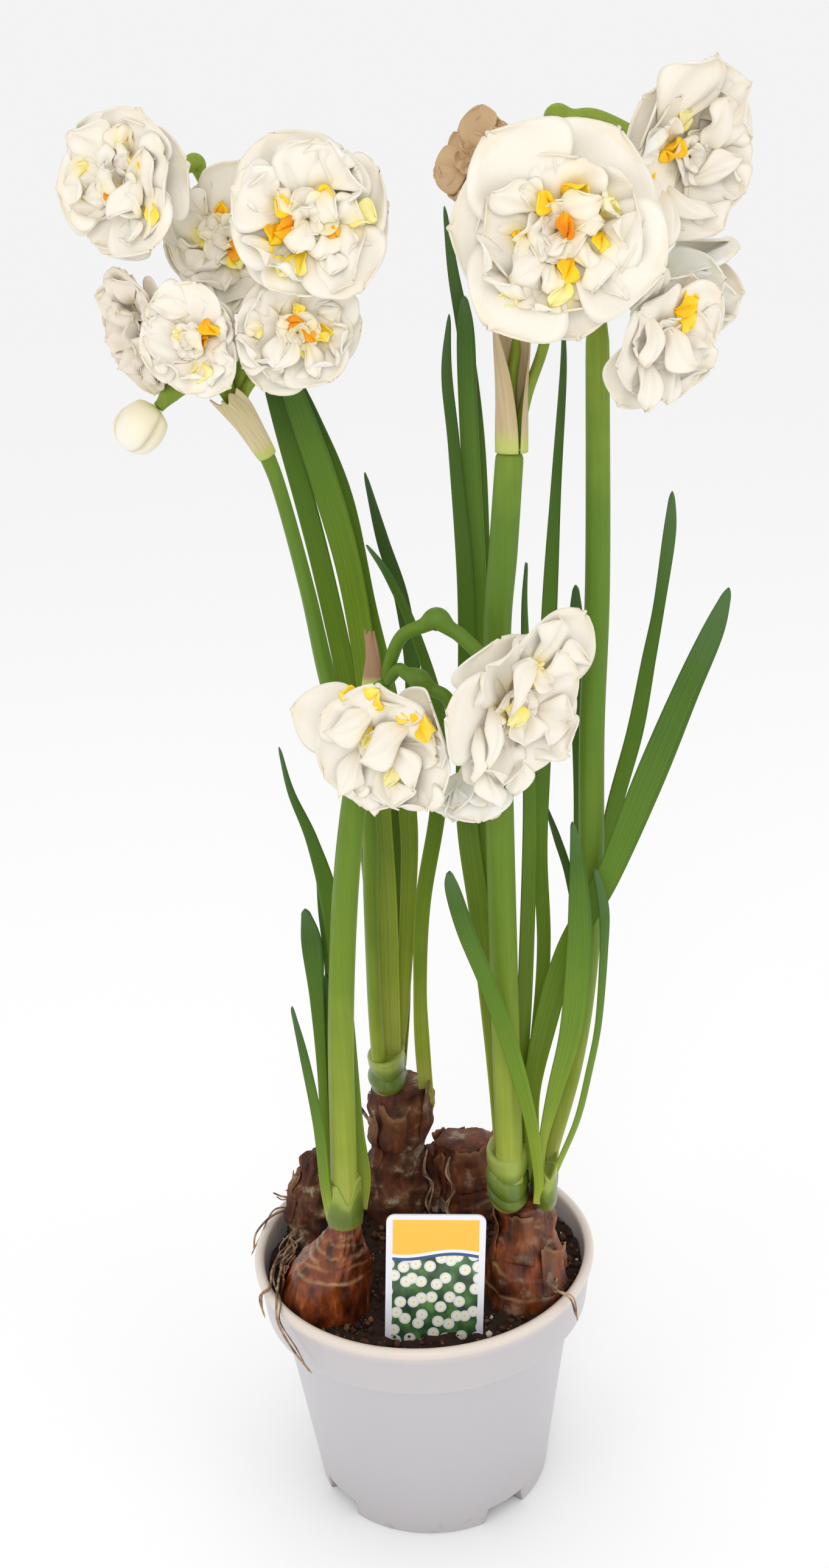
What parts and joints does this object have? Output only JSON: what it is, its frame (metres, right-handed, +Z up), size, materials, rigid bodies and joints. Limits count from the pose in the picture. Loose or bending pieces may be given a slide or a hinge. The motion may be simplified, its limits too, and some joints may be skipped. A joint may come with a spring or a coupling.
{
  "type": "potted narcissus",
  "caption": "Double white narcissus in a round white nursery pot, with bulbs, strap leaves, clusters of frilled blooms with yellow centres and a stick label.",
  "frame": {"origin": "centre of the pot's foot, on the ground it stands on", "axes": "+Z up, -Y towards the viewer of the picture, +X to the viewer's right"},
  "size_m": [0.2108, 0.1402, 0.514],
  "materials": {
    "pot_plastic": "gloss",
    "label_plastic": "satin",
    "potting_soil": "matte",
    "bulb_skin": "matte",
    "sheath": "satin",
    "flower_stem": "satin",
    "leaf": "satin",
    "spathe": "matte",
    "petal": "matte",
    "crown": "matte"
  },
  "bodies": {
    "root": {"pot": "pot_plastic", "label": "label_plastic", "soil": "potting_soil", "bulb_front_left": "bulb_skin", "bulb_front_right": "bulb_skin", "bulb_back_middle": "bulb_skin", "bulb_back_right": "bulb_skin", "bulb_back_left": "bulb_skin", "scape_left": "flower_stem", "scape_low": "flower_stem", "scape_right": "flower_stem", "scape_tall": "flower_stem", "leaf_back_1": "leaf", "leaf_back_2": "leaf", "leaf_back_3": "leaf", "leaf_back_4": "leaf", "leaf_back_5": "leaf", "leaf_middle_1": "leaf", "leaf_middle_2": "leaf", "leaf_middle_3": "leaf", "leaf_middle_4": "leaf", "leaf_middle_5": "leaf", "leaf_right_1": "leaf", "leaf_right_2": "leaf", "leaf_right_3": "leaf", "leaf_right_4": "leaf", "leaf_right_5": "leaf", "leaf_right_6": "leaf", "leaf_right_7": "leaf", "sheath_back": "sheath", "sheath_middle": "sheath", "sheath_right": "sheath", "leaves_front_left": "leaf", "spathe_left": "spathe", "spathe_low": "spathe", "spathe_right": "spathe", "bloom_left_1": "petal", "bloom_left_2": "petal", "bloom_left_3": "petal", "bloom_left_4": "petal", "bloom_left_5": "petal", "bloom_left_6": "petal", "bloom_right_1": "petal", "bloom_right_2": "petal", "bloom_right_3": "petal", "bloom_right_4": "petal", "bloom_right_5": "petal", "bloom_low_1": "petal", "bloom_low_2": "petal", "bloom_low_3": "petal", "crown_left_1": "crown", "crown_left_2": "crown", "crown_left_3": "crown", "crown_left_4": "crown", "crown_right_1": "crown", "crown_right_2": "crown", "crown_right_4": "crown", "crown_low_1": "crown", "crown_low_2": "crown", "bud_left": "petal"}
  },
  "joints": []
}
